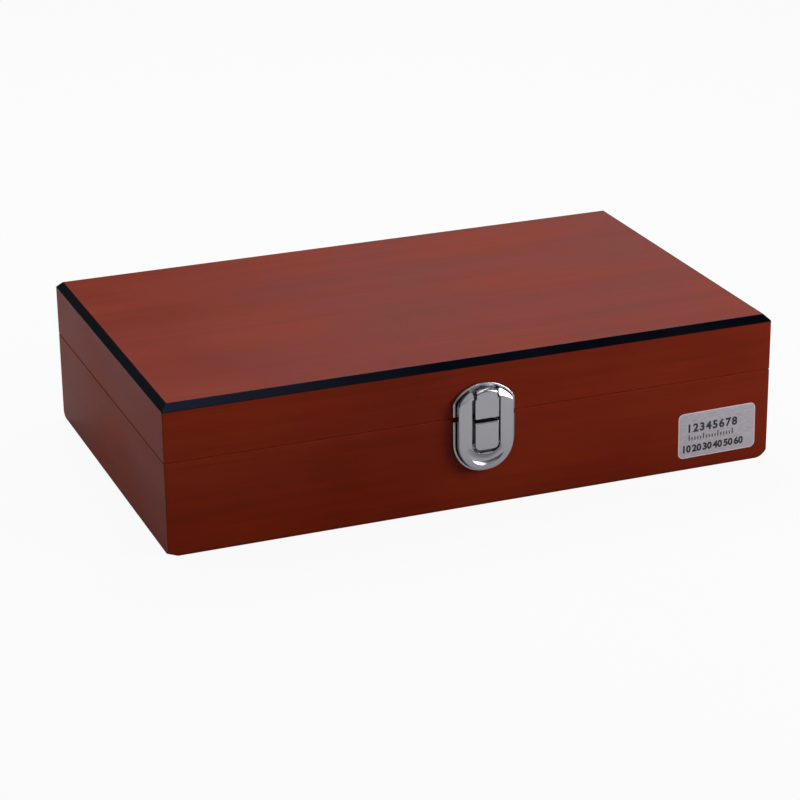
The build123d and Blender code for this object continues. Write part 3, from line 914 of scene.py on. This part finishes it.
@dataclass
class SizeLabel(Assembly):
    """The label low on the right of the front, with a plain printed scale.

    Attributes:
        size: Its width and height in millimetres.
        corner: Radius of its corners.
        tilt: How far its right end is turned up, in degrees.
        figures: The plain numbers of its top line.
        figure_h: Height of those numbers.
        figures_at: Left end and height of the top line, from the label's middle.
        figure_pitch: Distance between the numbers.
        ticks_at: Left end and height of the foot of the scale.
        tick_pitch: Distance between ticks.
        tick_count: How many ticks the scale has.
        long_every: How many ticks on from a long one the next long one stands.
        tick_w: Width of a tick.
        tick_h: Height of a short and of a long tick.
        lower_figures: The plain numbers of the lowest line.
        lower_h: Height of those numbers.
        lower_at: Left end and height of the lowest line.
        lower_pitch: Distance between those numbers.
        bold: How much bolder than the plain face the numbers are.
    """

    size: tuple[float, float] = (37.3, 20.9)
    corner: float = 2.5
    tilt: float = 0.75
    figures: tuple[str, ...] = ("1", "2", "3", "4", "5", "6", "7", "8")
    figure_h: float = 3.6
    figures_at: tuple[float, float] = (-13.4, 3.1)
    figure_pitch: float = 3.15
    ticks_at: tuple[float, float] = (-13.4, -2.4)
    tick_pitch: float = 1.4
    tick_count: int = 16
    long_every: int = 5
    tick_w: float = 0.5
    tick_h: tuple[float, float] = (1.5, 2.6)
    lower_figures: tuple[str, ...] = ("10", "20", "30", "40", "50", "60")
    lower_h: float = 3.1
    lower_at: tuple[float, float] = (-14.8, -6.4)
    lower_pitch: float = 5.1
    bold: float = 0.4

    def place(self) -> Matrix:
        """Finds where the label's face is.

        Returns:
            What takes a point on the upright label, from its middle, to its place.
        """
        low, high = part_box("size_label")
        face = Vector(((low.x + high.x) / 2, low.y, (low.z + high.z) / 2))
        upright = Matrix.Rotation(math.radians(90), 4, "X")
        return Matrix.Translation(face) @ upright @ Matrix.Rotation(math.radians(self.tilt), 4, "Z")

    def dress(self) -> None:
        """Gives the label its paper."""
        dress("size_label", CoatedPaper(self.place().inverted(), self.size, self.corner))

    def build(self) -> None:
        """Prints two lines of plain numbers and the scale between them."""
        sheet = Print(self.place())
        for figures, (x, y), pitch, height in (
            (self.figures, self.figures_at, self.figure_pitch, self.figure_h),
            (self.lower_figures, self.lower_at, self.lower_pitch, self.lower_h),
        ):
            places = {(x + i * pitch, y): figure for i, figure in enumerate(figures)}
            sheet.numbers(places, height, self.bold)
        x, y = self.ticks_at
        for i in range(self.tick_count):
            height = self.tick_h[i % self.long_every == 0]
            at = x + i * self.tick_pitch
            sheet.line((at, y), (at, y + height), self.tick_w)
        sheet.piece("label_printed_scale", "base", "label_paper")


@dataclass
class LidPad(Assembly):
    """The foam pad glued under the lid, over the ends of the gauges.

    Attributes:
        around: Points round each ring of the pad's skin.
        corner: Radius of the upright corners in millimetres.
        edge: Radius of the lower edge.
        edge_rings: Rings that turn that edge.
        face_rings: The rings of the lower face, each a share of the outline.
        crown: How much lower its middle hangs than its edge.
        crown_power: How flat the crown's middle is.
        pull: How far its sides pull in between the corners.
        ripple: Height of the cut surface's unevenness.
        ripple_mm: Length of that unevenness.
    """

    around: int = 144
    corner: float = 2.5
    edge: float = 1.6
    edge_rings: int = 5
    face_rings: tuple[float, ...] = (0.94, 0.85, 0.7, 0.5, 0.3, 0.12)
    crown: float = 0.7
    crown_power: int = 4
    pull: float = 0.8
    ripple: float = 0.12
    ripple_mm: float = 18.0

    def outline(self, half: Vector, share: float) -> list[Vector]:
        """Makes a rounded rectangle round the pad's middle.

        Args:
            half: Half its width and half its depth.
            share: Its size, as a share of the full outline.

        Returns:
            Its points in order, counted evenly round the corner angle.
        """
        points = []
        radius = self.corner * MM
        side = self.around // 4
        for quarter, (sx, sy) in enumerate(((1, 1), (-1, 1), (-1, -1), (1, -1))):
            corner = Vector((sx * (half.x - radius), sy * (half.y - radius)))
            for i in range(side):
                angle = math.radians(90 * (quarter + i / (side - 1)))
                points.append((corner + radius * Vector((math.cos(angle), math.sin(angle)))) * share)
        return points

    def rings(self, low: float, high: float) -> list[tuple[float, float, float]]:
        """Lists the rings from the glued face, over the soft edge, to the middle below.

        Args:
            low: Height of the pad's lowest point in metres.
            high: Height of its glued face.

        Returns:
            For each ring how far it lies inside the outline, its height and its share.
        """
        edge, crown = self.edge * MM, self.crown * MM
        found = [(0.0, high, 1.0)]
        for i in range(self.edge_rings):
            angle = math.radians(90 * i / (self.edge_rings - 1))
            found.append((edge * (1 - math.cos(angle)), low + crown + edge * (1 - math.sin(angle)), 1.0))
        for share in self.face_rings:
            found.append((edge, low + crown * share ** self.crown_power, share))
        return found

    def pulled(self, point: Vector, half: Vector) -> Vector:
        """Pulls a point in, most where it is halfway between two corners.

        Args:
            point: The point, from the pad's middle.
            half: Half the pad's size.

        Returns:
            The point's new place.
        """
        nearness = min(1, abs(point.x) / half.x) ** 2 * min(1, abs(point.y) / half.y) ** 2
        bow = self.pull * MM * (1 - nearness)
        return Vector((point.x * (1 - bow / half.x), point.y * (1 - bow / half.y)))

    def build(self) -> None:
        """Lofts the pad's skin from rings, with a soft edge and a crowned lower face."""
        low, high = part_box("lid_foam_pad")
        middle, half = (low + high) / 2, (high - low) / 2
        shell = bmesh.new()
        loops = []
        for inset, z, share in self.rings(low.z, high.z):
            loop = []
            for point in self.outline(half - Vector((inset, inset, 0)), share):
                flat = self.pulled(point, half)
                at = Vector((flat.x + middle.x, flat.y + middle.y, z))
                if z < high.z:
                    at.z += self.ripple * MM * (noise.noise(at / (self.ripple_mm * MM)) + 1) / 2
                loop.append(shell.verts.new(at))
            loops.append(loop)
        for upper, lower in zip(loops, loops[1:]):
            for i in range(len(upper)):
                j = (i + 1) % len(upper)
                shell.faces.new((upper[i], upper[j], lower[j], lower[i]))
        shell.faces.new(loops[0])
        shell.faces.new(reversed(loops[-1]))
        pad = new_piece("lid_foam_cushion", shell, OpenCellFoam(), smooth=True)
        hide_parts("lid_foam_pad")
        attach(pad, "lid")


class RayKind(Enum):
    """A kind of ray that the backdrop treats apart, by its socket's name."""

    CAMERA = "Is Camera Ray"
    GLOSSY = "Is Glossy Ray"
    TRANSMISSION = "Is Transmission Ray"


def rays(tree: Tree, shares: Mapping[RayKind, float]) -> Socket:
    """Adds up a share for each kind of ray.

    Args:
        tree: The node tree of the floor or the world.
        shares: The share that each kind of ray gets.

    Returns:
        The share of the ray at hand, or 0.
    """
    path = add_node(tree, "ShaderNodeLightPath")
    total: Socket | float = 0.0
    for kind, share in shares.items():
        step = add_node(tree, "ShaderNodeMath", {0: path.outputs[kind.value], 1: share, 2: total},
                        operation="MULTIPLY_ADD")
        total = step.outputs[0]
    return total


@dataclass(frozen=True)
class StudioFloor(Finish):
    """Matt white paper sweep under the box.

    The camera sees it as even white with the box's own soft shadow. Gloss and metal see the
    lit paper with only a little of that white.
    """

    name: str = "white_paper_sweep"
    colour: str = "#B6B6B6"
    shown: float = 0.93  # share of the plain white that the camera sees, the rest is lit paper
    mirrored: float = 0.03

    def shade(self, tree: Tree) -> Socket:
        """Adds the paper's nodes.

        Args:
            tree: The material's node tree.

        Returns:
            The surface.
        """
        share = rays(tree, {RayKind.CAMERA: self.shown, RayKind.GLOSSY: self.mirrored,
                            RayKind.TRANSMISSION: self.mirrored})
        paper = add_node(tree, "ShaderNodeBsdfDiffuse", {"Color": linear(self.colour)})
        white = add_node(tree, "ShaderNodeEmission", {"Color": (1, 1, 1, 1), "Strength": 1.0})
        mix = add_node(tree, "ShaderNodeMixShader", {0: share, 1: paper.outputs[0], 2: white.outputs[0]})
        return mix.outputs[0]


@dataclass(frozen=True)
class Lamp:
    """A softbox.

    Attributes:
        name: Its name.
        place: Where it stands, in metres.
        aim: The point that it faces.
        size: Its width and height.
        power: Its power in watts.
    """

    name: str
    place: tuple[float, float, float]
    aim: tuple[float, float, float]
    size: tuple[float, float]
    power: float

    def build(self) -> None:
        """Hangs the softbox."""
        light = bpy.data.lights.new(self.name, "AREA")
        light.shape = "RECTANGLE"
        light.size, light.size_y = self.size
        light.energy = self.power
        item = bpy.data.objects.new(self.name, light)
        item.location = self.place
        item.rotation_euler = (Vector(self.aim) - Vector(self.place)).to_track_quat("-Z", "Y").to_euler()
        bpy.context.scene.collection.objects.link(item)
        LOG.info("%s: lamp, %.1f W", self.name, self.power)


@dataclass
class Studio:
    """The floor, the lamps, the white surround and the camera.

    Attributes:
        floor_size: Side of the square floor in metres.
        floor_drop_mm: How far it lies under the box.
        ambient: Strength of the surround on the box.
        mirrored: Strength of the surround as gloss and metal see it.
        azimuth: The camera's angle from straight in front, in degrees, to the left below 0.
        elevation: The camera's angle above level.
        roll: How far the camera is turned about its own line.
        target: The point on the box that its line passes through, in metres.
        distance: From that point to the camera.
        lens: Focal length in millimetres, for the sensor's width.
        lamps: The softboxes, and a weak card in front that the latch mirrors.
    """

    floor_size: float = 12.0
    floor_drop_mm: float = 0.05
    ambient: float = 0.1
    mirrored: float = 0.1
    azimuth: float = -21.062
    elevation: float = 21.5703
    roll: float = -0.7039
    target: tuple[float, float, float] = (-0.00568, -0.00623, 0.0214)
    distance: float = 1.19716
    lens: float = 120.715
    lamps: tuple[Lamp, ...] = (
        Lamp("overhead_softbox", (0.15, 0.55, 1.0), (0.0, 0.0, 0.05), (1.0, 0.7), 11.4),
        Lamp("right_front_softbox", (0.75, -0.85, 0.55), (0.0, 0.0, 0.03), (0.5, 0.6), 2.2),
        Lamp("right_softbox", (0.6, -0.5, 0.35), (0.1, 0.0, 0.03), (0.35, 0.4), 2.9),
        Lamp("front_top_softbox", (0.06, -0.55, 1.15), (0.0, 0.0, 0.05), (0.44, 0.3), 1.65),
        Lamp("front_card", (0.0, -1.0, 0.68), (0.0, 0.0, 0.04), (0.5, 0.26), 0.2),
        Lamp("right_back_softbox", (1.3, 1.66, 0.75), (0.0, 0.0, 0.05), (1.8, 0.5), 2.9),
        Lamp("left_back_softbox", (-1.0, 0.5, 0.5), (0.0, 0.0, 0.03), (0.5, 0.7), 3.8),
        Lamp("left_top_softbox", (-0.65, -0.35, 1.0), (0.0, 0.0, 0.05), (0.6, 0.6), 0.8),
    )

    def build(self) -> None:
        """Sets up the floor, the surround, the lamps and the camera."""
        self.lay_floor()
        self.light_surround()
        for lamp in self.lamps:
            lamp.build()
        self.place_camera()
        bpy.context.scene.view_settings.view_transform = "Standard"

    def lay_floor(self) -> None:
        """Lays the paper just under the box."""
        sheet = bmesh.new()
        bmesh.ops.create_grid(sheet, x_segments=1, y_segments=1, size=self.floor_size / 2)
        bmesh.ops.translate(sheet, vec=(0, 0, -self.floor_drop_mm * MM), verts=sheet.verts)
        new_piece("studio_floor", sheet, StudioFloor())

    def light_surround(self) -> None:
        """Makes the world white to the camera and plain soft light to the box."""
        world = bpy.data.worlds.new("white_surround")
        world.use_nodes = True
        tree = world.node_tree
        tree.nodes.clear()
        extra = rays(tree, {RayKind.CAMERA: 1 - self.ambient, RayKind.GLOSSY: self.mirrored - self.ambient,
                            RayKind.TRANSMISSION: self.mirrored - self.ambient})
        strength = add_node(tree, "ShaderNodeMath", {0: extra, 1: self.ambient}, operation="ADD")
        glow = add_node(tree, "ShaderNodeBackground",
                        {"Color": (1, 1, 1, 1), "Strength": strength.outputs[0]})
        add_node(tree, "ShaderNodeOutputWorld", {"Surface": glow.outputs[0]})
        bpy.context.scene.world = world

    def place_camera(self) -> None:
        """Stands the camera where the box's edges fall as they do in the photograph."""
        azimuth, elevation, roll = (math.radians(a) for a in (self.azimuth, self.elevation, self.roll))
        back = Vector((math.sin(azimuth) * math.cos(elevation), -math.cos(azimuth) * math.cos(elevation),
                       math.sin(elevation)))
        right = (-back).cross(Vector((0, 0, 1))).normalized()
        up = right.cross(-back)
        turned_right = math.cos(roll) * right + math.sin(roll) * up
        turned_up = math.cos(roll) * up - math.sin(roll) * right
        place = Matrix((turned_right, turned_up, back)).transposed().to_4x4()
        place.translation = Vector(self.target) + back * self.distance
        data = bpy.data.cameras.new("studio_camera")
        data.lens, data.sensor_width, data.sensor_fit = self.lens, SENSOR_MM, "HORIZONTAL"
        camera = bpy.data.objects.new("studio_camera", data)
        camera.matrix_world = place
        bpy.context.scene.collection.objects.link(camera)
        bpy.context.scene.camera = camera


def main() -> None:
    """Builds and dresses every sub-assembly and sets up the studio."""
    logging.basicConfig(level=logging.INFO, format="%(name)s %(message)s")
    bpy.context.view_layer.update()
    Studio().build()
    for assembly in (Woodwork(), Edging(), DrawLatch(), Hinges(), GaugeRack(), LidPad(), SizeLabel()):
        LOG.info("%s", type(assembly).__name__)
        assembly.dress()
        assembly.build()


if __name__ == "__main__":
    main()
